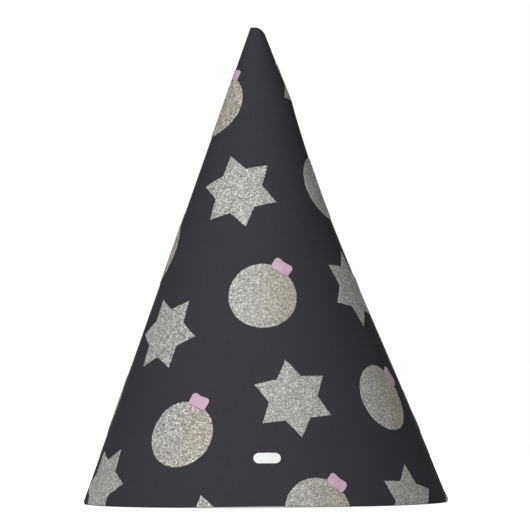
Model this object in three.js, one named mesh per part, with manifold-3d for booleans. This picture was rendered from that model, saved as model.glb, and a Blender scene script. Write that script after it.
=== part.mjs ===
// A conical party hat: one sheet of dark card rolled into a cone and taped along a lap at the back,
// with glitter film baubles and stars stuck all round it, and two punched holes for the chin elastic.
//
// The hat stands on its rim at z = 0, with its axis on +Z and its front towards -Y. Every piece is
// described on the flat card blank and then rolled, as the real hat is made. A place on the blank is
//   slant  the distance from the point where the sides would meet, and
//   wrap   the angle round the hat, 0 at the front and positive towards +X.
// All lengths are in millimetres.

import * as THREE from 'three';
import { mergeVertices } from 'three/addons/utils/BufferGeometryUtils.js';
import loadManifold from 'manifold-3d';

const degrees = THREE.MathUtils.degToRad;

// ---- Driving dimensions -----------------------------------------------------------------------

// The cone, on the outer face of the card.
const BASE_RADIUS = 57.75;         // the straight side carried down to z = 0
const APEX_HEIGHT = 155.0;        // where the straight sides would meet
const APEX_LEAN = 2.0;            // how far the apex stands to the left of the rim's centre
const CARD_THICKNESS = 0.45;

// A shallow hollow pressed into the right side.
const HOLLOW_DEPTH = 2.15;
const HOLLOW_TOP = 126;           // height where the hollow fades out
const HOLLOW_SKEW = 1.88;         // above 1 moves the deepest place up
const HOLLOW_WRAP = degrees(90);

// The open tip is cut on a slant, low on the right.
const TIP_SLANT = 5.3;
const TIP_DROP = 2.5;
const TIP_LOW_WRAP = degrees(104);
const TIP_DROP_SHARPNESS = 4;

// The rim is tucked in slightly over its last stretch, and arches a little at the front.
const RIM_TURN = 1.4;
const RIM_TUCK = 0.5;
const RIM_RISE = 0.55;
const RIM_RISE_WRAP = degrees(23);

// The lap joint at the back. The right-hand end of the sheet lies outside.
const LAP_HALF = degrees(7.5);
const TAPE_THICKNESS = 0.15;
const TAPE_WIDTH = 5;
const TAPE_TOP_SLANT = 64;
const TAPE_FOOT_SLANT = 158;
const LAYER_GAP = 0.1;            // air between card and tape, each side
const LAP_RAMP_START = degrees(150);
const LAP_RAMP_END = degrees(170);

// Two holes for the chin elastic, one each side.
const HOLE_DIAMETER = 2.5;
const HOLE_HEIGHT = 8;
const PUNCH_LENGTH = 8;
const PUNCH_SIDES = 16;

// The stuck-on film pieces.
const FILM_THICKNESS = 0.35;
const FILM_GAP = 0.15;
const FILM_TIP_MARGIN = 0.4;      // kept clear of the tip, the rim and the two ends of the sheet
const FILM_RIM_MARGIN = 0.5;
const FILM_START_MARGIN = degrees(1);
const FILM_END_MARGIN = degrees(0.3);
const BAUBLE_RADIUS = 10.8;
const STAR_RADIUS = 13;
const STAR_NOTCH_RATIO = 0.613;
const STAR_POINTS = 6;
const STAR_TURN = degrees(10.75);
const CAP_WIDTH = 6.4;
const CAP_HEIGHT = 4;
const CAP_CORNER = 1.1;
const CAP_WAIST = 0.25;
const CAP_REACH = 11.8;           // bauble centre to cap centre
const CAP_TURN = degrees(-32.2);
const CAP_GAP = 0.3;
const LABEL_WIDTH = 8.5;
const LABEL_HEIGHT = 3.4;

// The pattern is a chequered lattice on the flat blank, in [right, down] from the apex. Near the tip
// it is pushed down and gathered towards the front. It is spread a little at the two sides, and low
// down it drifts to the left towards the back.
const PATTERN_START = new THREE.Vector2(0.39, 94.99);
const PATTERN_DOWN = new THREE.Vector2(8.24, 35.31);
const PATTERN_RIGHT = new THREE.Vector2(35.48, -8.32);
const STAR_SHIFT = new THREE.Vector2(0.85, -1.27);
const PATTERN_REACH = 5;          // lattice steps each way
const PATTERN_PUSH = 6.5;
const PATTERN_PUSH_SHARPNESS = 3.3;
const PATTERN_GATHER = 0.27;
const PATTERN_GATHER_SHARPNESS = 6;
const PATTERN_SPREAD = degrees(3.4);
const PATTERN_SPREAD_SHARPNESS = 9;
const PATTERN_DRIFT = degrees(3.4);
const PATTERN_DRIFT_SHARPNESS = 2;
const SMALLEST_PIECE_AREA = 6;    // scraps smaller than this are not stuck on
const SMALLEST_CAP_AREA = 1.5;
const LABEL_PLACE = new THREE.Vector2(0.75, 149);

// ---- The rolled surface -----------------------------------------------------------------------

const HALF_ANGLE = Math.atan(BASE_RADIUS / APEX_HEIGHT);
const RIM_SLANT = Math.hypot(BASE_RADIUS, APEX_HEIGHT);
const LAP_RISE = CARD_THICKNESS + TAPE_THICKNESS + 2 * LAYER_GAP;
const SHEET_START = -Math.PI - LAP_HALF;
const SHEET_END = Math.PI + LAP_HALF;
const SHOWN_START = SHEET_END - 2 * Math.PI + FILM_START_MARGIN;
const SHOWN_END = SHEET_END - FILM_END_MARGIN;

// How finely the solids are faceted.
const COLUMN_COUNT = 50;
const ROW_COUNT = 10;
const DISC_DIVISIONS = 13;
const ROUND_END_DIVISIONS = 3;
const CORNER_DIVISIONS = 1;

// How far a cutter reaches inside and outside the card, and how much film it is given to cut.
const CUTTER_INSIDE = 2;
const CUTTER_OUTSIDE = 6;
const SPARE_WRAP = degrees(24);
const WIDEST_WRAP = degrees(120);
const SAME_POINT = 1e-6;

function hollowAt(height, wrap) {
  const rise = THREE.MathUtils.clamp(height / HOLLOW_TOP, 0, 1);
  const side = Math.max(0, Math.cos(wrap - HOLLOW_WRAP));
  return HOLLOW_DEPTH * Math.sin(Math.PI * rise ** HOLLOW_SKEW) * side ** 2;
}

// The point on the hat at a place on the blank, a given distance outside the card's outer face.
function onHat(slant, wrap, outward) {
  const turned = THREE.MathUtils.clamp(1 - (RIM_SLANT - slant) / RIM_TURN, 0, 1);
  const tilt = HALF_ANGLE * (1 - turned);
  const lift = outward + LAP_RISE * THREE.MathUtils.smoothstep(wrap, LAP_RAMP_START, LAP_RAMP_END);
  const height = APEX_HEIGHT - slant * Math.cos(HALF_ANGLE);
  const radius = slant * Math.sin(HALF_ANGLE) - hollowAt(height, wrap) - RIM_TUCK * turned ** 2
    + lift * Math.cos(tilt);
  return new THREE.Vector3(
    radius * Math.sin(wrap) - APEX_LEAN * height / APEX_HEIGHT,
    -radius * Math.cos(wrap),
    height + lift * Math.sin(tilt),
  );
}

// The point on the hat at a place in the pattern, which is drawn as [right, down] from the apex.
function onPattern(right, down, outward) {
  const nearTip = (slant) => Math.max(0, 1 - slant / RIM_SLANT);
  const push = PATTERN_PUSH * nearTip(Math.hypot(right, down)) ** PATTERN_PUSH_SHARPNESS;
  const slant = Math.hypot(right, down + push);
  const gather = 1 + PATTERN_GATHER * nearTip(slant) ** PATTERN_GATHER_SHARPNESS;
  const wrap = Math.atan2(right, down + push) / Math.sin(HALF_ANGLE) / gather;
  const spread = PATTERN_SPREAD * Math.sin(wrap) ** PATTERN_SPREAD_SHARPNESS;
  const drift = PATTERN_DRIFT * (1 - Math.cos(wrap)) * (slant / RIM_SLANT) ** PATTERN_DRIFT_SHARPNESS;
  return onHat(slant, wrap + spread - drift, outward);
}

function rimSlantAt(wrap) {
  return RIM_SLANT - RIM_RISE * Math.exp(-((wrap / RIM_RISE_WRAP) ** 2));
}

function tipSlantAt(wrap) {
  return TIP_SLANT + TIP_DROP * ((1 + Math.cos(wrap - TIP_LOW_WRAP)) / 2) ** TIP_DROP_SHARPNESS;
}

const COLUMNS = Array.from({ length: COLUMN_COUNT + 1 }, (_, index) =>
  THREE.MathUtils.lerp(SHEET_START, SHEET_END, index / COLUMN_COUNT));

// Rows run from 0 at the foot of the straight side to 1 at the tip.
const ROWS = Array.from({ length: ROW_COUNT + 1 }, (_, index) => index / ROW_COUNT);

function slantOfRow(row, wrap) {
  return THREE.MathUtils.lerp(RIM_SLANT - RIM_TURN, tipSlantAt(wrap), row);
}

// ---- Solids -----------------------------------------------------------------------------------

const manifold = await loadManifold();
manifold.setup();

function solidFrom(geometry) {
  const bare = geometry.clone();
  bare.deleteAttribute('normal');
  bare.deleteAttribute('uv');
  const welded = mergeVertices(bare);
  return new manifold.Manifold(new manifold.Mesh({
    numProp: 3,
    vertProperties: new Float32Array(welded.attributes.position.array),
    triVerts: new Uint32Array(welded.index.array),
  }));
}

function geometryFrom(solid) {
  const mesh = solid.getMesh();
  const geometry = new THREE.BufferGeometry();
  geometry.setAttribute('position', new THREE.BufferAttribute(mesh.vertProperties, 3));
  geometry.setIndex(new THREE.BufferAttribute(mesh.triVerts, 1));
  geometry.computeVertexNormals();
  return geometry;
}

function moveVertices(geometry, place) {
  const position = geometry.attributes.position;
  const vertex = new THREE.Vector3();
  for (let index = 0; index < position.count; index += 1) {
    vertex.fromBufferAttribute(position, index);
    position.setXYZ(index, ...place(vertex).toArray());
  }
  return geometry;
}

// A flat strip with a grid of columns and rows, rolled so that `place` gives each grid corner.
function rolledStrip(columns, rowCount, place) {
  const strip = new THREE.BoxGeometry(1, 1, 1, columns.length - 1, rowCount - 1, 1);
  return moveVertices(strip, ({ x, y, z }) => {
    const column = Math.round((x + 0.5) * (columns.length - 1));
    const row = Math.round((y + 0.5) * (rowCount - 1));
    return place(columns[column], row, z > 0);
  });
}

// The whole card, with an extra row for the rim and one half way through its tuck.
function cardSheet() {
  const slants = (wrap) => [
    rimSlantAt(wrap),
    rimSlantAt(wrap) - FILM_RIM_MARGIN,
    ...ROWS.map((row) => slantOfRow(row, wrap)),
  ];
  return rolledStrip(COLUMNS, ROWS.length + 2, (wrap, row, outside) =>
    onHat(slants(wrap)[row], wrap, outside ? 0 : -CARD_THICKNESS));
}

function chinHole(side) {
  const radius = HOLE_DIAMETER / 2;
  const punch = new THREE.CylinderGeometry(radius, radius, PUNCH_LENGTH, PUNCH_SIDES);
  punch.rotateZ(Math.PI / 2);
  const slant = (APEX_HEIGHT - HOLE_HEIGHT) / Math.cos(HALF_ANGLE);
  const centre = onHat(slant, side * Math.PI / 2, 0);
  return solidFrom(punch.translate(centre.x, centre.y, centre.z));
}

function coneCard() {
  const punched = solidFrom(cardSheet()).subtract(chinHole(1)).subtract(chinHole(-1));
  return geometryFrom(punched);
}

// A straight strip of tape, centred in the lap.
function seamTape() {
  const slants = [TAPE_FOOT_SLANT, TAPE_TOP_SLANT];
  return rolledStrip([-1, 0, 1], slants.length, (side, row, outside) => {
    const slant = slants[row];
    const wrap = -Math.PI + side * TAPE_WIDTH / 2 / (slant * Math.sin(HALF_ANGLE));
    return onHat(slant, wrap, LAYER_GAP + (outside ? TAPE_THICKNESS : 0));
  });
}

// A piece of film lying on the card between two wraps, on the same facets as the card.
function filmSheet(start, end) {
  const columns = [start, ...COLUMNS.filter((wrap) => wrap > start && wrap < end), end];
  const slants = (wrap) => [
    rimSlantAt(wrap) - FILM_RIM_MARGIN,
    ...ROWS.map((row) => slantOfRow(row, wrap) + (row === 1 ? FILM_TIP_MARGIN : 0)),
  ];
  return rolledStrip(columns, ROWS.length + 1, (wrap, row, outside) =>
    onHat(slants(wrap)[row], wrap, FILM_GAP + (outside ? FILM_THICKNESS : 0)));
}

// ---- Cut-out shapes, drawn upright about their own centre --------------------------------------

function discShape(radius) {
  return new THREE.Shape().absarc(0, 0, radius, 0, 2 * Math.PI);
}

function starShape() {
  const shape = new THREE.Shape();
  for (let corner = 0; corner < 2 * STAR_POINTS; corner += 1) {
    const radius = corner % 2 === 0 ? STAR_RADIUS : STAR_RADIUS * STAR_NOTCH_RATIO;
    const angle = Math.PI / 2 + corner * Math.PI / STAR_POINTS;
    const [x, y] = [radius * Math.cos(angle), radius * Math.sin(angle)];
    if (corner === 0) shape.moveTo(x, y);
    else shape.lineTo(x, y);
  }
  return shape.closePath();
}

// The bauble's cap: a rounded oblong with a slight waist in its outer side.
function capShape(grow) {
  const right = CAP_WIDTH / 2 + grow;
  const top = CAP_HEIGHT / 2 + grow;
  const corner = CAP_CORNER + grow;
  const shape = new THREE.Shape();
  shape.absarc(right - corner, -top + corner, corner, -Math.PI / 2, 0);
  shape.absarc(right - corner, top - corner, corner, 0, Math.PI / 2);
  shape.lineTo(0, top - CAP_WAIST);
  shape.absarc(-right + corner, top - corner, corner, Math.PI / 2, Math.PI);
  shape.absarc(-right + corner, -top + corner, corner, Math.PI, 1.5 * Math.PI);
  return shape.closePath();
}

function pillShape(width, height) {
  const radius = height / 2;
  const shape = new THREE.Shape();
  shape.absarc(width / 2 - radius, 0, radius, -Math.PI / 2, Math.PI / 2);
  shape.absarc(radius - width / 2, 0, radius, Math.PI / 2, 1.5 * Math.PI);
  return shape.closePath();
}

function outlineOf(shape, divisions) {
  const points = shape.getPoints(divisions);
  return points.filter((point, index) =>
    point.distanceTo(points[(index + 1) % points.length]) > SAME_POINT);
}

// A cutter that stands through the card with the given outline, placed on the pattern. It is a
// cylinder whose ring vertices move to the outline and whose middle vertices stay in the middle.
function cutter(outline, centre, turn) {
  const origin = new THREE.Vector2();
  const block = new THREE.CylinderGeometry(1, 1, 1, outline.length).rotateX(Math.PI / 2);
  moveVertices(block, ({ x, y, z }) => {
    const onRing = Math.hypot(x, y) > 0.5;
    const turns = Math.atan2(x, -y) / (2 * Math.PI) + 1;
    const index = Math.round(turns * outline.length) % outline.length;
    const point = onRing ? outline[index].clone() : new THREE.Vector2();
    point.rotateAround(origin, turn);
    return onPattern(centre.x + point.x, centre.y - point.y, z > 0 ? CUTTER_OUTSIDE : -CUTTER_INSIDE);
  });
  return solidFrom(block);
}

// ---- Film pieces -------------------------------------------------------------------------------

// Film round a place on the pattern, wide enough for a cut-out with the given reach, or null where
// no part of the sheet shows.
function filmUnder(place, reach) {
  if (place.length() - reach > RIM_SLANT) return null;
  const wrap = Math.atan2(place.x, place.y) / Math.sin(HALF_ANGLE);
  const halfTurn = Math.asin(Math.min(1, reach / place.length())) / Math.sin(HALF_ANGLE);
  const reachWrap = Math.min(halfTurn + SPARE_WRAP, WIDEST_WRAP);
  const start = Math.max(wrap - reachWrap, SHOWN_START);
  const end = Math.min(wrap + reachWrap, SHOWN_END);
  return start < end ? solidFrom(filmSheet(start, end)) : null;
}

function largestPart(solid) {
  return solid.decompose().reduce((best, part) => (part.volume() > best.volume() ? part : best));
}

function starPiece(place) {
  const film = filmUnder(place, STAR_RADIUS);
  return film && film.intersect(cutter(outlineOf(starShape(), CORNER_DIVISIONS), place, STAR_TURN));
}

function capPlace(place) {
  const turn = -CAP_TURN;
  return new THREE.Vector2(
    place.x + CAP_REACH * Math.sin(turn),
    place.y - CAP_REACH * Math.cos(turn),
  );
}

function capCutter(place, grow) {
  return cutter(outlineOf(capShape(grow), CORNER_DIVISIONS), capPlace(place), CAP_TURN);
}

function baublePiece(place) {
  const film = filmUnder(place, BAUBLE_RADIUS);
  if (!film) return null;
  const disc = film.intersect(cutter(outlineOf(discShape(BAUBLE_RADIUS), DISC_DIVISIONS), place, 0));
  return disc.subtract(capCutter(place, CAP_GAP));
}

function capPiece(place) {
  const film = filmUnder(capPlace(place), CAP_WIDTH / 2);
  return film && film.intersect(capCutter(place, 0));
}

function labelPiece() {
  const outline = outlineOf(pillShape(LABEL_WIDTH, LABEL_HEIGHT), ROUND_END_DIVISIONS);
  return filmUnder(LABEL_PLACE, LABEL_WIDTH / 2).intersect(cutter(outline, LABEL_PLACE, 0));
}

// ---- Materials and assembly ---------------------------------------------------------------------

const printedCard = new THREE.MeshStandardMaterial({ color: 0x3b3a3f, roughness: 0.85 });
const clearTape = new THREE.MeshStandardMaterial({ color: 0xe8e4d6, roughness: 0.4 });
const glitterFilm = new THREE.MeshStandardMaterial({
  color: 0xb1b0ab, roughness: 0.5, metalness: 0.3,
});
const pinkFilm = new THREE.MeshStandardMaterial({ color: 0xd8b8d0, roughness: 0.6 });
const whitePaper = new THREE.MeshStandardMaterial({ color: 0xf2f3f2, roughness: 0.6 });

const hat = new THREE.Group();

function addNode(name, geometry, material) {
  const mesh = new THREE.Mesh(geometry, material);
  mesh.name = name;
  hat.add(mesh);
}

// Adds a film piece unless it is only a scrap, and says whether it did.
function addFilm(name, solid, smallestArea, material) {
  if (!solid || solid.volume() < smallestArea * FILM_THICKNESS) return false;
  addNode(name, geometryFrom(largestPart(solid)), material);
  return true;
}

function addStar(number, place) {
  return addFilm(`glitter_star_${number}`, starPiece(place), SMALLEST_PIECE_AREA, glitterFilm);
}

function addBauble(number, place) {
  const name = `glitter_bauble_${number}`;
  const added = addFilm(name, baublePiece(place), SMALLEST_PIECE_AREA, glitterFilm);
  if (added) addFilm(`bauble_cap_${number}`, capPiece(place), SMALLEST_CAP_AREA, pinkFilm);
  return added;
}

function addPattern() {
  let baubles = 0;
  let stars = 0;
  for (let down = -PATTERN_REACH; down <= PATTERN_REACH; down += 1) {
    for (let right = -PATTERN_REACH; right <= PATTERN_REACH; right += 1) {
      const place = PATTERN_START.clone()
        .addScaledVector(PATTERN_DOWN, down)
        .addScaledVector(PATTERN_RIGHT, right);
      if ((down + right) % 2 === 0) baubles += Number(addBauble(baubles + 1, place));
      else stars += Number(addStar(stars + 1, place.add(STAR_SHIFT)));
    }
  }
}

addNode('cone_card', coneCard(), printedCard);
addNode('seam_tape', seamTape(), clearTape);
addPattern();
addNode('blank_label', geometryFrom(labelPiece()), whitePaper);

export default hat;
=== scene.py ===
"""A conical party hat: dark printed card rolled into a cone, with glitter film baubles and stars.

Shapes are worked out in millimetres and turned into metres when a mesh is made. Most of them start flat
on the card blank, as (right, down) from the point where the cone's straight sides would meet, and are
then rolled with the card. A place on the rolled card is
  slant  the distance from that point, and
  wrap   the angle round the hat, 0 at the front and positive towards +X.
"""

import math

import bmesh
import bpy
import numpy as np
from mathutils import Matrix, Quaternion, Vector
from mathutils.geometry import delaunay_2d_cdt


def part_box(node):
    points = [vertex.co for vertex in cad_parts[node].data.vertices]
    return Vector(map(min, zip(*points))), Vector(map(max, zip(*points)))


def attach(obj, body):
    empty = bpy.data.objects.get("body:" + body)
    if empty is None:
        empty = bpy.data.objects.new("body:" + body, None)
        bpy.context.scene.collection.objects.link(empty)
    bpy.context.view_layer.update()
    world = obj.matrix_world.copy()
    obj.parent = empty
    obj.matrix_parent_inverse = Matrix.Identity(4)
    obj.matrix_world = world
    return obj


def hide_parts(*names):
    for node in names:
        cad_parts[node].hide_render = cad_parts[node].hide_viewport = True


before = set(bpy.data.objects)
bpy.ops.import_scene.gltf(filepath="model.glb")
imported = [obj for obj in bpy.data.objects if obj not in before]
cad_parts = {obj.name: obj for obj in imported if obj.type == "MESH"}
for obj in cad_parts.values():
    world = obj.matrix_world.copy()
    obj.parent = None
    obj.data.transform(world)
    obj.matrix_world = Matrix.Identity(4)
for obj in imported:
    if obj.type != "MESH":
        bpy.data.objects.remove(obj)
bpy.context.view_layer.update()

MM = 0.001

# ---- Driving values, with lengths in millimetres ------------------------------------------------

# The cone, on the outer face of the card.
BASE_RADIUS = 57.75
APEX_HEIGHT = 155.0
APEX_LEAN = 2.0                 # how far the apex stands to the left of the rim's centre
CARD_THICKNESS = 0.45

# A shallow hollow pressed into the right side.
HOLLOW_DEPTH = 2.15
HOLLOW_TOP = 126
HOLLOW_SKEW = 1.88
HOLLOW_WRAP = math.radians(90)

# The open tip is cut on a slant, low on the right.
TIP_SLANT = 5.3
TIP_DROP = 2.5
TIP_LOW_WRAP = math.radians(104)
TIP_DROP_SHARPNESS = 4

# The rim is tucked in slightly over its last stretch, and arches a little at the front.
RIM_TURN = 1.4
RIM_TUCK = 0.5
RIM_RISE = 0.55
RIM_RISE_WRAP = math.radians(23)

# The lap joint at the back. The right-hand end of the sheet lies outside.
LAP_HALF = math.radians(7.5)
LAP_RAMP_START = math.radians(150)
LAP_RAMP_END = math.radians(170)
TAPE_THICKNESS = 0.15
TAPE_WIDTH = 5
TAPE_TOP_SLANT = 64
TAPE_FOOT_SLANT = 158
LAYER_GAP = 0.1

HOLE_DIAMETER = 2.5
HOLE_HEIGHT = 8
PUNCH_LENGTH = 8

# Film pieces.
FILM_GAP = 0.03
FILM_THICKNESS = 0.16
FILM_EDGE_THICKNESS = 0.11      # the cut edge is pressed down a little
FILM_EDGE_ROUGHNESS = 0.07      # how far glitter makes a cut edge stray, each way
FILM_RIM_MARGIN = 0.15
FILM_TIP_MARGIN = 0.4
FILM_END_MARGIN = math.radians(0.3)
BAUBLE_RADIUS = 10.8
STAR_RADIUS = 13
STAR_NOTCH_RATIO = 0.613
STAR_POINTS = 6
STAR_TURN = math.radians(10.75)
CAP_WIDTH = 6.4
CAP_HEIGHT = 4
CAP_CORNER = 1.1
CAP_WAIST = 0.25
CAP_REACH = 11.8
CAP_TURN = math.radians(-32.2)
CAP_GAP = 0.12
LABEL_WIDTH = 8.5
LABEL_HEIGHT = 3.4
LABEL_PLACE = (0.75, 149)

# The pattern is a chequered lattice on the flat blank. Near the tip it is pushed down and gathered
# towards the front. It is spread a little at the two sides, and low down it drifts to the left
# towards the back.
PATTERN_START = np.array((0.39, 94.99))
PATTERN_DOWN = np.array((8.24, 35.31))
PATTERN_RIGHT = np.array((35.48, -8.32))
STAR_SHIFT = np.array((0.85, -1.27))
PATTERN_PUSH = 6.5
PATTERN_PUSH_SHARPNESS = 3.3
PATTERN_GATHER = 0.27
PATTERN_GATHER_SHARPNESS = 6
PATTERN_SPREAD = math.radians(3.4)
PATTERN_SPREAD_SHARPNESS = 9
PATTERN_DRIFT = math.radians(3.4)
PATTERN_DRIFT_SHARPNESS = 2
PATTERN_REACH = 5               # lattice steps each way

# How finely the meshes are made.
OUTLINE_STEP = 0.35
GLITTER_GRAIN = 0.42
GLITTER_RELIEF = 0.02
SMOOTH_GRAIN = 0.7
SMOOTH_RELIEF = 0.01
GRAIN_JITTER = 0.3              # this and the next are shares of the grain
GRAIN_CLEARANCE = 0.6
UNDERSIDE_STEP = 2.0
UNDERSIDE_CLEARANCE = 0.4       # a share of the step
ROOM_WRAP_STEP = math.radians(0.5)
ROOM_SLANT_STEP = 1
MERGE_DISTANCE = 1e-6
CARD_COLUMN_STEP = math.radians(1.25)
CARD_ROW_STEP = 2.5
RIM_ROW_COUNT = 7
TAPE_ROW_COUNT = 40
TAPE_COLUMN_COUNT = 5
PUNCH_SEGMENTS = 40
SHARP_ANGLE = math.radians(40)

# A star's random seed is its number. The others' are offset, so that no two pieces share one.
BAUBLE_SEED = 100
LABEL_SEED = 200

# Materials.
NOISE_RANGE = (0.3, 0.7)        # noise values bunch round the middle, so this range is spread out
CLOUD_RANGE = (0.35, 0.65)
FLAKE_SIZE = 0.29
FLAKE_TILT = 0.5
ACROSS = "across"               # the mesh attribute, left to right across a bauble, that places its painted gold reflection
PAINTED_REFLECTION_RANGE = (-0.5, 0.6)        # the painted gold reflection comes in between these shares of a bauble's radius

# The stage.
CAMERA_DISTANCE = 3000
CAMERA_SIDE = 0.29
CAMERA_HEIGHT = 89.9
CAMERA_AIM_HEIGHT = 75.05
CAMERA_LEAN = math.radians(0.38)
CAMERA_SENSOR = 36
WIDTH_SEEN = 167.34
LAMP_DISTANCE = 1500
LAMP_SIZE = 600
LAMP_AIM_HEIGHT = 70
LAMPS = (                       # name, azimuth and elevation in degrees, strength
    ("key", -24, 25, 0.73),
    ("fill", 12, 20, 0.16),
    ("back", 180, 18, 0.65),
)
SURROUND_LIGHT = 0.15
FLOOR_RADIUS = 600
FLOOR_SEGMENTS = 96
FLOOR_GLOW_PLACES = (50, 300)   # distances from the hat's middle between which the glow rises
FLOOR_GLOW = (0.55, 1.0)

HALF_ANGLE = math.atan(BASE_RADIUS / APEX_HEIGHT)
RIM_SLANT = math.hypot(BASE_RADIUS, APEX_HEIGHT)
LAP_RISE = CARD_THICKNESS + TAPE_THICKNESS + 2 * LAYER_GAP
SHEET_START = -math.pi - LAP_HALF
SHEET_END = math.pi + LAP_HALF


# ---- The rolled surface -------------------------------------------------------------------------

def smoothstep(value, low, high):
    share = np.clip((value - low) / (high - low), 0, 1)
    return share * share * (3 - 2 * share)


def hollow_at(height, wrap):
    rise = np.clip(height / HOLLOW_TOP, 0, 1)
    side = np.maximum(0, np.cos(wrap - HOLLOW_WRAP))
    return HOLLOW_DEPTH * np.sin(math.pi * rise ** HOLLOW_SKEW) * side ** 2


def on_hat(slant, wrap, outward):
    """Points on the hat, a distance outside the card's outer face."""
    turned = np.clip(1 - (RIM_SLANT - slant) / RIM_TURN, 0, 1)
    tilt = HALF_ANGLE * (1 - turned)
    lift = outward + LAP_RISE * smoothstep(wrap, LAP_RAMP_START, LAP_RAMP_END)
    height = APEX_HEIGHT - slant * math.cos(HALF_ANGLE)
    radius = slant * math.sin(HALF_ANGLE) - hollow_at(height, wrap) - RIM_TUCK * turned ** 2
    radius = radius + lift * np.cos(tilt)
    x = radius * np.sin(wrap) - APEX_LEAN * height / APEX_HEIGHT
    y = -radius * np.cos(wrap)
    z = height + lift * np.sin(tilt)
    return np.stack((x, y, z), axis=-1)


def on_blank(points, outward):
    """Points on the hat from flat places on the card blank."""
    wrap = np.arctan2(points[:, 0], points[:, 1]) / math.sin(HALF_ANGLE)
    return on_hat(np.hypot(points[:, 0], points[:, 1]), wrap, outward)


def blank_point(slant, wrap):
    turn = wrap * math.sin(HALF_ANGLE)
    return np.stack((slant * np.sin(turn), slant * np.cos(turn)), axis=-1)


def nearness_to_tip(slant):
    return np.maximum(0, 1 - slant / RIM_SLANT)


def pattern_to_blank(points):
    """Places on the card blank from places in the even lattice."""
    right, down = points[:, 0], points[:, 1]
    down = down + PATTERN_PUSH * nearness_to_tip(np.hypot(right, down)) ** PATTERN_PUSH_SHARPNESS
    slant = np.hypot(right, down)
    gather = 1 + PATTERN_GATHER * nearness_to_tip(slant) ** PATTERN_GATHER_SHARPNESS
    wrap = np.arctan2(right, down) / math.sin(HALF_ANGLE) / gather
    spread = PATTERN_SPREAD * np.sin(wrap) ** PATTERN_SPREAD_SHARPNESS
    drift = PATTERN_DRIFT * (1 - np.cos(wrap)) * (slant / RIM_SLANT) ** PATTERN_DRIFT_SHARPNESS
    return blank_point(slant, wrap + spread - drift)


def rim_slant_at(wrap):
    return RIM_SLANT - RIM_RISE * np.exp(-(wrap / RIM_RISE_WRAP) ** 2)


def tip_slant_at(wrap):
    near_low_side = (1 + np.cos(wrap - TIP_LOW_WRAP)) / 2
    return TIP_SLANT + TIP_DROP * near_low_side ** TIP_DROP_SHARPNESS


# ---- Meshes -------------------------------------------------------------------------------------

def make_piece(name, node, points, faces, materials, face_materials=None, smooth=True):
    """A closed mesh that stands for a CAD node."""
    mesh = bpy.data.meshes.new(name)
    mesh.from_pydata([tuple(point) for point in np.asarray(points) * MM], [], faces)
    for material in materials:
        mesh.materials.append(material)
    if face_materials is not None:
        mesh.polygons.foreach_set("material_index", face_materials)
    mesh.polygons.foreach_set("use_smooth", [smooth] * len(mesh.polygons))
    solid = bmesh.new()
    solid.from_mesh(mesh)
    bmesh.ops.recalc_face_normals(solid, faces=solid.faces)
    solid.to_mesh(mesh)
    solid.free()
    piece = bpy.data.objects.new(name, mesh)
    bpy.context.scene.collection.objects.link(piece)
    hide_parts(node)
    return piece


def grid_faces(row_count, column_count, first):
    """Quads over a grid of vertices stored row by row from index first."""
    return [
        (corner, corner + 1, corner + column_count + 1, corner + column_count)
        for row in range(row_count - 1)
        for corner in range(first + row * column_count, first + (row + 1) * column_count - 1)
    ]


def border_of(row_count, column_count):
    """The grid's border vertices in order, once round."""
    last_row = (row_count - 1) * column_count
    top = list(range(column_count))
    right = [row * column_count + column_count - 1 for row in range(1, row_count)]
    bottom = list(range(last_row + column_count - 2, last_row - 1, -1))
    left = [row * column_count for row in range(row_count - 2, 0, -1)]
    return top + right + bottom + left


def rolled_sheet(slants, wraps, inner, outer):
    """Points and faces of a sheet whose grid is given as matrices, with the count of outer faces."""
    row_count, column_count = slants.shape
    size = row_count * column_count
    outside = on_hat(slants, wraps, outer).reshape(-1, 3)
    inside = on_hat(slants, wraps, inner).reshape(-1, 3)
    border = border_of(row_count, column_count)
    walls = [
        (start, end, end + size, start + size)
        for start, end in zip(border, border[1:] + border[:1])
    ]
    faces = grid_faces(row_count, column_count, 0)
    outer_count = len(faces)
    faces = faces + grid_faces(row_count, column_count, size) + walls
    return np.concatenate((outside, inside)), faces, outer_count


def is_inside(points, loop):
    """Which points lie inside a closed loop, by counting the sides that a ray crosses."""
    start, end = loop, np.roll(loop, -1, axis=0)
    across, along = points[:, None, 0], points[:, None, 1]
    straddles = (start[:, 1] > along) != (end[:, 1] > along)
    with np.errstate(divide="ignore", invalid="ignore"):
        slope = (end[:, 0] - start[:, 0]) / (end[:, 1] - start[:, 1])
        crossing = start[:, 0] + (along - start[:, 1]) * slope
        to_the_right = straddles & (across < crossing)
    return to_the_right.sum(axis=1) % 2 == 1


def loop_edges(loops):
    """The sides of closed loops, as pairs of indices into all the loops' points in a row."""
    edges = []
    first = 0
    for loop in loops:
        count = len(loop)
        edges += [(first + index, first + (index + 1) % count) for index in range(count)]
        first += count
    return edges


def triangles_between(points, edges, keep):
    """Delaunay triangles that follow the edges. Returns points, kept triangles and each input's index."""
    flat = [Vector(point) for point in points]
    out_points, _, out_faces, sources, _, _ = delaunay_2d_cdt(flat, edges, [], 0, MERGE_DISTANCE)
    out_points = np.array([tuple(point) for point in out_points])
    out_faces = np.array(out_faces)
    out_faces = out_faces[keep(out_points[out_faces].mean(axis=1))]
    place_of_input = {source: place for place, found in enumerate(sources) for source in found}
    return out_points, out_faces, place_of_input


def spread_points(loop, spacing, jitter, random):
    """Points on a staggered grid over a loop's box, each moved by up to a share of the spacing."""
    low, high = loop.min(axis=0), loop.max(axis=0)
    row_step = spacing * math.sqrt(3) / 2
    rows = np.arange(low[1], high[1], row_step)
    columns = np.arange(low[0], high[0], spacing)
    across, down = np.meshgrid(columns, rows)
    across = across + (np.arange(len(rows)) % 2)[:, None] * spacing / 2
    grid = np.stack((across.ravel(), down.ravel()), axis=-1)
    return grid + random.uniform(-jitter, jitter, grid.shape) * spacing


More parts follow.
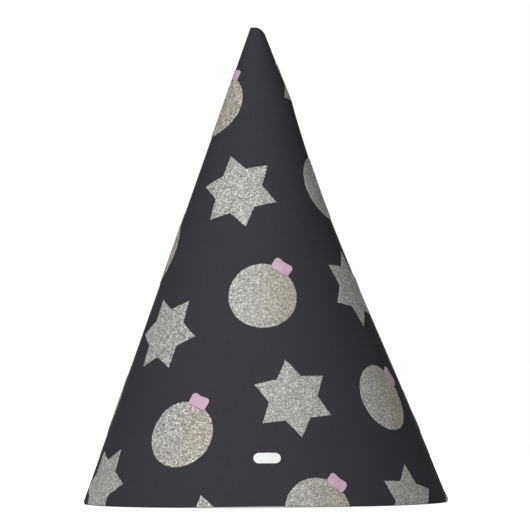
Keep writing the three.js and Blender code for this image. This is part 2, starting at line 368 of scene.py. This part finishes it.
def clear_of(points, others, distance):
    gaps = np.linalg.norm(points[:, None] - others[None], axis=2)
    return points[gaps.min(axis=1) > distance]


def largest_part(faces):
    """Only the triangles of the biggest connected part."""
    label = {}
    for face in faces:
        for corner in face:
            label.setdefault(corner, corner)

    def root(corner):
        while label[corner] != corner:
            label[corner] = label[label[corner]]
            corner = label[corner]
        return corner

    for first, second, third in faces:
        label[root(first)] = root(second)
        label[root(third)] = root(second)
    roots = np.array([root(face[0]) for face in faces])
    names, counts = np.unique(roots, return_counts=True)
    return faces[roots == names[counts.argmax()]]


def open_edges(faces):
    """The directed edges that only one triangle has."""
    directed = {(face[turn], face[(turn + 1) % 3]) for face in faces.tolist() for turn in range(3)}
    return sorted(edge for edge in directed if (edge[1], edge[0]) not in directed)


def film_keeper(outline, holes):
    """A test for points on a film piece: inside its outline, outside its holes and on the sheet."""
    def keep(points):
        kept = is_inside(points, outline) & is_inside(points, FILM_ROOM)
        for hole in holes:
            kept &= ~is_inside(points, hole)
        return kept

    return keep


def film_face(outline, rim, edges, keep, spacing, jitter, clearance, random):
    """Triangles over a film piece, from its rim and from points spread inside it."""
    middles = spread_points(outline, spacing, jitter, random)
    middles = clear_of(middles[keep(middles)], rim, clearance * spacing)
    points, faces, place_of_input = triangles_between(np.concatenate((rim, middles)), edges, keep)
    return points, largest_part(faces), place_of_input


def film_solid(outline, holes, grain, relief, random):
    """A film piece lying on the card, trimmed where the sheet ends. Its top is uneven by grains."""
    keep = film_keeper(outline, holes)
    loops = [outline, *holes]
    if not is_inside(outline, FILM_ROOM).all():
        loops.append(FILM_ROOM)
    top, top_faces, _ = film_face(outline, np.concatenate(loops), loop_edges(loops), keep,
                                  grain, GRAIN_JITTER, GRAIN_CLEARANCE, random)

    border = open_edges(top_faces)
    corners = sorted({corner for edge in border for corner in edge})
    number = {corner: index for index, corner in enumerate(corners)}
    under_edges = [(number[start], number[end]) for start, end in border]
    under, under_faces, place = film_face(outline, top[corners], under_edges, keep,
                                          UNDERSIDE_STEP, 0, UNDERSIDE_CLEARANCE, random)

    heights = FILM_GAP + FILM_THICKNESS + random.uniform(-relief, relief, len(top))
    heights[corners] = FILM_GAP + FILM_EDGE_THICKNESS
    points = np.concatenate((on_blank(top, heights), on_blank(under, FILM_GAP)))
    below = {corner: len(top) + place[number[corner]] for corner in corners}
    walls = [(end, start, below[start], below[end]) for start, end in border]
    under_faces = under_faces[:, ::-1] + len(top)
    return drop_unused(points, top_faces.tolist() + under_faces.tolist() + walls)


def drop_unused(points, faces):
    used = sorted({corner for face in faces for corner in face})
    number = {corner: index for index, corner in enumerate(used)}
    return points[used], [tuple(number[corner] for corner in face) for face in faces]


# ---- Outlines, drawn upright about their own centre -----------------------------------------------

def arc(centre, radius, start, end):
    count = max(2, math.ceil(abs(end - start) * radius / OUTLINE_STEP))
    angles = np.linspace(start, end, count, endpoint=False)
    return np.array(centre) + radius * np.stack((np.cos(angles), np.sin(angles)), axis=-1)


def line(start, end):
    length = math.dist(start, end)
    count = max(1, round(length / OUTLINE_STEP))
    shares = np.linspace(0, 1, count, endpoint=False)[:, None]
    return np.array(start) * (1 - shares) + np.array(end) * shares


def waist(reach, height):
    """A side run from right to left that dips smoothly in the middle."""
    across = line((reach, height), (-reach, height))[:, 0]
    dip = CAP_WAIST * (1 + np.cos(math.pi * across / reach)) / 2
    return np.stack((across, height - dip), axis=-1)


def disc_outline():
    return arc((0, 0), BAUBLE_RADIUS, 0, 2 * math.pi)


def star_outline():
    corners = []
    for corner in range(2 * STAR_POINTS):
        radius = STAR_RADIUS if corner % 2 == 0 else STAR_RADIUS * STAR_NOTCH_RATIO
        angle = math.pi / 2 + corner * math.pi / STAR_POINTS + STAR_TURN
        corners.append((radius * math.cos(angle), radius * math.sin(angle)))
    return np.concatenate([line(start, end) for start, end in zip(corners, corners[1:] + corners[:1])])


def cap_outline(grow):
    """A rounded oblong with a slight waist in its outer side."""
    right = CAP_WIDTH / 2 + grow
    top = CAP_HEIGHT / 2 + grow
    corner = CAP_CORNER + grow
    quarter = math.pi / 2
    upright = np.concatenate((
        arc((right - corner, corner - top), corner, -quarter, 0),
        line((right, corner - top), (right, top - corner)),
        arc((right - corner, top - corner), corner, 0, quarter),
        waist(right - corner, top),
        arc((corner - right, top - corner), corner, quarter, 2 * quarter),
        line((-right, top - corner), (-right, corner - top)),
        arc((corner - right, corner - top), corner, 2 * quarter, 3 * quarter),
        line((corner - right, -top), (right - corner, -top)),
    ))
    across, up = upright[:, 0], upright[:, 1]
    cos, sin = math.cos(CAP_TURN), math.sin(CAP_TURN)
    return np.stack((across * cos - up * sin, across * sin + up * cos), axis=-1)


def pill_outline():
    radius = LABEL_HEIGHT / 2
    reach = LABEL_WIDTH / 2 - radius
    return np.concatenate((
        arc((reach, 0), radius, -math.pi / 2, math.pi / 2),
        line((reach, radius), (-reach, radius)),
        arc((-reach, 0), radius, math.pi / 2, 1.5 * math.pi),
        line((-reach, -radius), (reach, -radius)),
    ))


def placed(outline, place):
    """An outline moved to its place in the pattern, on the card blank."""
    return pattern_to_blank(np.asarray(place) + outline * (1, -1))


def film_room():
    """The part of the blank that shows and can carry film."""
    start = SHEET_END - 2 * math.pi + FILM_END_MARGIN
    end = SHEET_END - FILM_END_MARGIN
    wraps = np.arange(start, end, ROOM_WRAP_STEP)
    slants = np.arange(TIP_SLANT + TIP_DROP, RIM_SLANT - FILM_RIM_MARGIN, ROOM_SLANT_STEP)
    return np.concatenate((
        blank_point(rim_slant_at(wraps) - FILM_RIM_MARGIN, wraps),
        blank_point(slants[::-1], np.full(len(slants), end)),
        blank_point(tip_slant_at(wraps[::-1]) + FILM_TIP_MARGIN, wraps[::-1]),
        blank_point(slants, np.full(len(slants), start)),
    ))


FILM_ROOM = film_room()


def pattern_places(is_star):
    """The lattice places of the stars, or of the baubles, that may touch the sheet."""
    places = []
    for down in range(-PATTERN_REACH, PATTERN_REACH + 1):
        for right in range(-PATTERN_REACH, PATTERN_REACH + 1):
            place = PATTERN_START + down * PATTERN_DOWN + right * PATTERN_RIGHT
            if (down + right) % 2 == is_star:
                places.append(place + is_star * STAR_SHIFT)
    return [place for place in places if math.hypot(*place) < RIM_SLANT + STAR_RADIUS]


def place_of(node, places, outline):
    """The lattice place whose shape fills the CAD node's box best."""
    cad_low, cad_high = (np.array(corner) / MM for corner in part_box(node))

    def misfit(place):
        flat = placed(outline, place)
        flat = flat[is_inside(flat, FILM_ROOM)]
        if len(flat) == 0:
            return math.inf
        solid = on_blank(flat, FILM_GAP)
        return np.abs(solid.min(axis=0) - cad_low).sum() + np.abs(solid.max(axis=0) - cad_high).sum()

    return min(places, key=misfit)


# ---- Materials ----------------------------------------------------------------------------------

def connect(tree, node, inputs):
    """Links each input to a socket, or gives it a value."""
    for name, value in inputs.items():
        if isinstance(value, bpy.types.NodeSocket):
            tree.links.new(value, node.inputs[name])
        else:
            node.inputs[name].default_value = value


def add_node(tree, kind, inputs, **settings):
    made = tree.nodes.new(kind)
    for name, value in settings.items():
        setattr(made, name, value)
    connect(tree, made, inputs)
    return made


def vector_math(tree, operation, inputs):
    return add_node(tree, "ShaderNodeVectorMath", inputs, operation=operation).outputs


def new_material(name):
    material = bpy.data.materials.new(name)
    material.use_nodes = True
    tree = material.node_tree
    where = add_node(tree, "ShaderNodeTexCoord", {}).outputs["Object"]
    return material, tree, tree.nodes["Principled BSDF"], where


def noise(tree, where, size, detail=2.0):
    """Soft noise whose blobs are about size millimetres across, from 0 to 1."""
    scale = 1 / (size * MM)
    made = add_node(tree, "ShaderNodeTexNoise", {"Vector": where, "Scale": scale, "Detail": detail})
    return made.outputs["Fac"]


def stretch(tree, value, source, target):
    """A value moved from one range, as (low, high), to another."""
    made = add_node(tree, "ShaderNodeMapRange", {
        "Value": value, "From Min": source[0], "From Max": source[1],
        "To Min": target[0], "To Max": target[1],
    })
    return made.outputs["Result"]


def ramp(tree, value, stops):
    """A colour ramp from a list of (place, colour)."""
    made = add_node(tree, "ShaderNodeValToRGB", {"Fac": value})
    elements = made.color_ramp.elements
    while len(elements) < len(stops):
        elements.new(0.5)
    for element, (place, colour) in zip(elements, stops):
        element.position = place
        element.color = (*colour, 1)
    return made.outputs["Color"]


def two_tone(tree, value, source, low_colour, high_colour):
    return ramp(tree, value, [(source[0], low_colour), (source[1], high_colour)])


def blend_in(tree, share, colour, tint, mode="MIX"):
    """A linked colour with a share of a plain tint blended in."""
    factor, first, second, result = 0, 6, 7, 2      # the Mix node's sockets for colours
    made = add_node(tree, "ShaderNodeMix", {}, data_type="RGBA", blend_type=mode)
    connect(tree, made, {factor: share, first: colour, second: (*tint, 1)})
    return made.outputs[result]


def bump(tree, height, strength, distance):
    made = add_node(tree, "ShaderNodeBump", {
        "Height": height, "Strength": strength, "Distance": distance * MM,
    })
    return made.outputs["Normal"]


def printed_card():
    """Matt charcoal print over card, with the card's fine grain showing through the ink."""
    material, tree, shader, where = new_material("charcoal_print")
    grain = noise(tree, where, size=0.7, detail=3.0)
    cloud = noise(tree, where, size=14)
    tooth = noise(tree, where, size=0.45, detail=4.0)
    ink = two_tone(tree, grain, NOISE_RANGE, (0.0365, 0.0352, 0.0415), (0.0425, 0.041, 0.0485))
    ink = blend_in(tree, stretch(tree, cloud, NOISE_RANGE, (0.0, 0.12)), ink, (0.05, 0.048, 0.056))
    connect(tree, shader, {
        "Base Color": ink,
        "Roughness": stretch(tree, grain, NOISE_RANGE, (0.72, 0.86)),
        "Specular IOR Level": 0.05,
        "Normal": bump(tree, tooth, strength=0.25, distance=0.03),
    })
    return material


def bare_paper():
    """The unprinted side and the cut edges of the card."""
    material, tree, shader, where = new_material("bare_paper")
    fibres = noise(tree, where, size=0.5, detail=5.0)
    connect(tree, shader, {
        "Base Color": two_tone(tree, fibres, NOISE_RANGE, (0.66, 0.64, 0.6), (0.78, 0.765, 0.73)),
        "Roughness": stretch(tree, fibres, NOISE_RANGE, (0.82, 0.95)),
        "Normal": bump(tree, fibres, strength=0.35, distance=0.05),
    })
    return material


def tilted_flakes(tree, colours):
    """The surface's normal, leaning another way on each flake."""
    lean = vector_math(tree, "SUBTRACT", {0: colours, 1: (0.5, 0.5, 0.5)})["Vector"]
    lean = vector_math(tree, "SCALE", {0: lean, "Scale": FLAKE_TILT})["Vector"]
    upright = add_node(tree, "ShaderNodeNewGeometry", {}).outputs["Normal"]
    tilted = vector_math(tree, "ADD", {0: upright, 1: lean})["Vector"]
    return vector_math(tree, "NORMALIZE", {0: tilted})["Vector"]


def glitter(name, painted_reflection):
    """Silver glitter: flakes that differ in shade, tilt and shine, with rare dark and tinted ones.

    The last argument sets a painted gold reflection: how far the silver turns to pale gold towards a
    piece's right side, from 0 to 1.
    """
    material, tree, shader, where = new_material(name)
    flakes = add_node(tree, "ShaderNodeTexVoronoi", {"Vector": where, "Scale": 1 / (FLAKE_SIZE * MM)})
    parts = add_node(tree, "ShaderNodeSeparateColor", {"Color": flakes.outputs["Color"]}).outputs
    shade = ramp(tree, parts["Red"], [
        (0.0, (0.05, 0.05, 0.05)),
        (0.02, (0.15, 0.148, 0.144)),
        (0.3, (0.28, 0.277, 0.265)),
        (0.7, (0.44, 0.436, 0.416)),
        (0.92, (0.68, 0.673, 0.642)),
        (1.0, (0.92, 0.91, 0.88)),
    ])
    reflection_gold, pink = (0.98, 0.93, 0.82), (0.75, 0.5, 0.6)
    across = add_node(tree, "ShaderNodeAttribute", {}, attribute_name=ACROSS).outputs["Fac"]
    # Painted reflection: a pale gold tint multiplied into the silver towards each bauble's right side.
    reflection_share = stretch(tree, across, PAINTED_REFLECTION_RANGE, (0.0, painted_reflection))
    shade = blend_in(tree, reflection_share, shade, reflection_gold, "MULTIPLY")
    rarely = stretch(tree, parts["Green"], (0.96, 1.0), (0.0, 0.35))
    shade = blend_in(tree, rarely, shade, pink)
    connect(tree, shader, {
        "Base Color": shade,
        "Metallic": stretch(tree, parts["Blue"], (0.4, 1.0), (0.0, 0.25)),
        "Roughness": stretch(tree, parts["Green"], (0.0, 1.0), (0.4, 0.7)),
        "Normal": tilted_flakes(tree, flakes.outputs["Color"]),
    })
    return material


def pink_film():
    """Pastel pink film, softly clouded and half glossy."""
    material, tree, shader, where = new_material("pink_satin")
    cloud = noise(tree, where, size=1.6, detail=3.0)
    grain = noise(tree, where, size=0.3)
    connect(tree, shader, {
        "Base Color": two_tone(tree, cloud, CLOUD_RANGE, (0.53, 0.335, 0.465), (0.575, 0.42, 0.53)),
        "Roughness": stretch(tree, grain, NOISE_RANGE, (0.42, 0.58)),
        "Normal": bump(tree, grain, strength=0.2, distance=0.02),
    })
    return material


def label_paper():
    """Smooth white paper."""
    material, tree, shader, where = new_material("label_paper")
    fibres = noise(tree, where, size=0.4, detail=4.0)
    connect(tree, shader, {
        "Base Color": two_tone(tree, fibres, NOISE_RANGE, (0.74, 0.76, 0.76), (0.86, 0.87, 0.87)),
        "Roughness": stretch(tree, fibres, NOISE_RANGE, (0.5, 0.65)),
        "Normal": bump(tree, fibres, strength=0.2, distance=0.02),
    })
    return material


def milky_tape():
    """Yellowish double-sided tape, slightly creased."""
    material, tree, shader, where = new_material("milky_tape")
    creases = noise(tree, where, size=2.5, detail=4.0)
    connect(tree, shader, {
        "Base Color": two_tone(tree, creases, CLOUD_RANGE, (0.72, 0.68, 0.56), (0.82, 0.79, 0.68)),
        "Roughness": stretch(tree, creases, NOISE_RANGE, (0.25, 0.45)),
        "Normal": bump(tree, creases, strength=0.3, distance=0.03),
    })
    return material


# ---- Pieces -------------------------------------------------------------------------------------

def card_slants(wraps):
    """Rows of slants for the card's grid, close together over the turned rim."""
    straight = RIM_SLANT - RIM_TURN
    rim_shares = np.arange(RIM_ROW_COUNT)[:, None] / RIM_ROW_COUNT
    rim_rows = rim_slant_at(wraps) * (1 - rim_shares) + straight * rim_shares
    row_count = math.ceil((straight - TIP_SLANT) / CARD_ROW_STEP)
    shares = np.linspace(0, 1, row_count + 1)[:, None]
    side_rows = straight * (1 - shares) + tip_slant_at(wraps) * shares
    return np.concatenate((rim_rows, side_rows))


def punch(card, side):
    """Cuts the round hole for the chin elastic, on the left or the right."""
    slant = (APEX_HEIGHT - HOLE_HEIGHT) / math.cos(HALF_ANGLE)
    centre = on_hat(slant, side * math.pi / 2, 0)
    tool = bpy.data.meshes.new("punch")
    solid = bmesh.new()
    bmesh.ops.create_cone(solid, cap_ends=True, segments=PUNCH_SEGMENTS, depth=PUNCH_LENGTH * MM,
                          radius1=HOLE_DIAMETER / 2 * MM, radius2=HOLE_DIAMETER / 2 * MM)
    solid.to_mesh(tool)
    solid.free()
    cutter = bpy.data.objects.new("punch", tool)
    cutter.rotation_euler = (0, math.pi / 2, 0)
    cutter.location = Vector(centre) * MM
    bpy.context.scene.collection.objects.link(cutter)
    cut = card.modifiers.new("punch", "BOOLEAN")
    cut.object = cutter
    cut.operation = "DIFFERENCE"
    cut.solver = "EXACT"
    with bpy.context.temp_override(object=card, active_object=card):
        bpy.ops.object.modifier_apply(modifier=cut.name)
    bpy.data.objects.remove(cutter)


def add_card(print_side, bare_side):
    column_count = math.ceil((SHEET_END - SHEET_START) / CARD_COLUMN_STEP)
    wraps = np.linspace(SHEET_START, SHEET_END, column_count + 1)
    slants = card_slants(wraps)
    grid_wraps = np.zeros_like(slants) + wraps
    points, faces, outer_count = rolled_sheet(slants, grid_wraps, -CARD_THICKNESS, 0)
    sides = [0] * outer_count + [1] * (len(faces) - outer_count)
    card = make_piece("card_sheet", "cone_card", points, faces,
                      [print_side, bare_side], sides)
    for side in (-1, 1):
        punch(card, side)
    card.data.set_sharp_from_angle(angle=SHARP_ANGLE)
    return card


def add_tape(material):
    rows = np.linspace(TAPE_FOOT_SLANT, TAPE_TOP_SLANT, TAPE_ROW_COUNT)
    slants = rows[:, None] + np.zeros(TAPE_COLUMN_COUNT)
    across = np.linspace(-TAPE_WIDTH / 2, TAPE_WIDTH / 2, TAPE_COLUMN_COUNT)
    wraps = across / (slants * math.sin(HALF_ANGLE)) - math.pi
    points, faces, _ = rolled_sheet(slants, wraps, LAYER_GAP, LAYER_GAP + TAPE_THICKNESS)
    tape = make_piece("tape_strip", "seam_tape", points, faces, [material])
    tape.data.set_sharp_from_angle(angle=SHARP_ANGLE)
    return tape


def numbers_of(prefix):
    return sorted(int(name.removeprefix(prefix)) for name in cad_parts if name.startswith(prefix))


def glitter_sticker(name, node, outline, place, holes, material, random):
    """A piece of glitter film, with the slightly ragged edge that its grains leave."""
    ragged = outline + random.uniform(-FILM_EDGE_ROUGHNESS, FILM_EDGE_ROUGHNESS, outline.shape)
    points, faces = film_solid(placed(ragged, place), holes, GLITTER_GRAIN, GLITTER_RELIEF, random)
    return make_piece(name, node, points, faces, [material], smooth=False)


def smooth_sticker(name, node, outline, material, random):
    """A piece of smooth film or paper, with a crisp edge."""
    points, faces = film_solid(outline, [], SMOOTH_GRAIN, SMOOTH_RELIEF, random)
    sticker = make_piece(name, node, points, faces, [material])
    sticker.data.set_sharp_from_angle(angle=SHARP_ANGLE)
    return sticker


def add_stars(material):
    outline = star_outline()
    places = pattern_places(True)
    stars = []
    for number in numbers_of("glitter_star_"):
        node = f"glitter_star_{number}"
        place = place_of(node, places, outline)
        random = np.random.default_rng(number)
        stars.append(glitter_sticker(f"star_film_{number}", node, outline, place, [], material, random))
    return stars


def mark_across(bauble, place):
    """Stores how far each vertex lies to the right of the bauble's middle, as a share of the radius, for
    the painted gold reflection.
    """
    middle = pattern_to_blank(place[None])
    wrap = math.atan2(*middle[0]) / math.sin(HALF_ANGLE)
    rightwards = np.array((math.cos(wrap), math.sin(wrap), 0))
    points = np.array([vertex.co for vertex in bauble.data.vertices]) / MM
    across = (points - on_blank(middle, 0)) @ rightwards / BAUBLE_RADIUS
    bauble.data.attributes.new(ACROSS, "FLOAT", "POINT").data.foreach_set("value", across)


def add_baubles(material, cap_material):
    """The baubles, each with a notch where its cap sits, and the caps that the CAD has."""
    outline = disc_outline()
    places = pattern_places(False)
    capped = numbers_of("bauble_cap_")
    cap_step = CAP_REACH * np.array((-math.sin(CAP_TURN), -math.cos(CAP_TURN)))
    pieces = []
    for number in numbers_of("glitter_bauble_"):
        node = f"glitter_bauble_{number}"
        place = place_of(node, places, outline)
        random = np.random.default_rng(BAUBLE_SEED + number)
        notch = placed(cap_outline(CAP_GAP), place + cap_step)
        bauble = glitter_sticker(f"bauble_film_{number}", node, outline, place, [notch], material, random)
        mark_across(bauble, place)
        pieces.append(bauble)
        if number in capped:
            cap = placed(cap_outline(0), place + cap_step)
            pieces.append(smooth_sticker(f"cap_film_{number}", f"bauble_cap_{number}", cap,
                                         cap_material, random))
    return pieces


def add_label(material):
    outline = placed(pill_outline(), LABEL_PLACE)
    random = np.random.default_rng(LABEL_SEED)
    return smooth_sticker("label_pill", "blank_label", outline, material, random)


# ---- Stage --------------------------------------------------------------------------------------

def add_camera():
    """Far off and almost level with the middle of the hat, leaning very slightly to one side."""
    eye = Vector((CAMERA_SIDE * MM, -CAMERA_DISTANCE * MM, CAMERA_HEIGHT * MM))
    target = Vector((CAMERA_SIDE * MM, 0, CAMERA_AIM_HEIGHT * MM))
    camera = bpy.data.objects.new("camera", bpy.data.cameras.new("camera"))
    camera.data.sensor_width = CAMERA_SENSOR
    camera.data.lens = CAMERA_SENSOR * (target - eye).length / (WIDTH_SEEN * MM)
    camera.location = eye
    camera.rotation_mode = "QUATERNION"
    level = (target - eye).to_track_quat("-Z", "Y")
    camera.rotation_quaternion = level @ Quaternion((0, 0, 1), -CAMERA_LEAN)
    bpy.context.scene.collection.objects.link(camera)
    bpy.context.scene.camera = camera


def add_soft_light(name, azimuth, elevation, strength):
    """A square lamp aimed at the hat. Strength is the shade that it alone gives a white card."""
    distance = LAMP_DISTANCE * MM
    lamp = bpy.data.lights.new(name, "AREA")
    lamp.size = LAMP_SIZE * MM
    lamp.energy = strength * math.pi ** 2 * distance ** 2
    light = bpy.data.objects.new(name, lamp)
    turn, rise = math.radians(azimuth), math.radians(elevation)
    towards = Vector((math.sin(turn) * math.cos(rise), -math.cos(turn) * math.cos(rise), math.sin(rise)))
    light.location = Vector((0, 0, LAMP_AIM_HEIGHT * MM)) + distance * towards
    light.rotation_mode = "QUATERNION"
    light.rotation_quaternion = (-towards).to_track_quat("-Z", "Y")
    bpy.context.scene.collection.objects.link(light)


def is_camera_ray(tree):
    return add_node(tree, "ShaderNodeLightPath", {}).outputs["Is Camera Ray"]


def add_world():
    """White where the camera looks past the hat, and a dim even light everywhere else."""
    world = bpy.data.worlds.new("studio")
    bpy.context.scene.world = world
    world.use_nodes = True
    tree = world.node_tree
    strength = stretch(tree, is_camera_ray(tree), (0.0, 1.0), (SURROUND_LIGHT, 1.0))
    connect(tree, tree.nodes["Background"], {"Color": (1, 1, 1, 1), "Strength": strength})


def pale_floor():
    """Near white, glowing to pure white away from the hat where the camera sees it."""
    material, tree, shader, where = new_material("pale_floor")
    cloud = noise(tree, where, size=60, detail=3.0)
    away = vector_math(tree, "LENGTH", {0: where})["Value"]
    near, far = FLOOR_GLOW_PLACES
    glow = stretch(tree, away, (near * MM, far * MM), FLOOR_GLOW)
    glow = add_node(tree, "ShaderNodeMath", {0: glow, 1: is_camera_ray(tree)}, operation="MULTIPLY")
    connect(tree, shader, {
        "Base Color": two_tone(tree, cloud, NOISE_RANGE, (0.86, 0.86, 0.86), (0.9, 0.9, 0.9)),
        "Roughness": stretch(tree, cloud, NOISE_RANGE, (0.85, 0.95)),
        "Emission Color": (1, 1, 1, 1),
        "Emission Strength": glow.outputs["Value"],
    })
    return material


def add_floor(material):
    mesh = bpy.data.meshes.new("floor")
    solid = bmesh.new()
    bmesh.ops.create_circle(solid, cap_ends=True, segments=FLOOR_SEGMENTS, radius=FLOOR_RADIUS * MM)
    solid.to_mesh(mesh)
    solid.free()
    mesh.materials.append(material)
    floor = bpy.data.objects.new("floor", mesh)
    bpy.context.scene.collection.objects.link(floor)


def build():
    bpy.context.scene.view_settings.view_transform = "Standard"
    add_camera()
    add_world()
    for lamp in LAMPS:
        add_soft_light(*lamp)
    add_floor(pale_floor())
    pieces = [add_card(printed_card(), bare_paper()), add_tape(milky_tape())]
    pieces += add_stars(glitter("silver_glitter", painted_reflection=0.0))
    # The baubles' glitter carries a painted gold reflection towards their right side; the stars' glitter
    # has none.
    pieces += add_baubles(glitter("glitter_painted_gold_reflection", painted_reflection=1.0), pink_film())
    pieces.append(add_label(label_paper()))
    for piece in pieces:
        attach(piece, "root")


build()
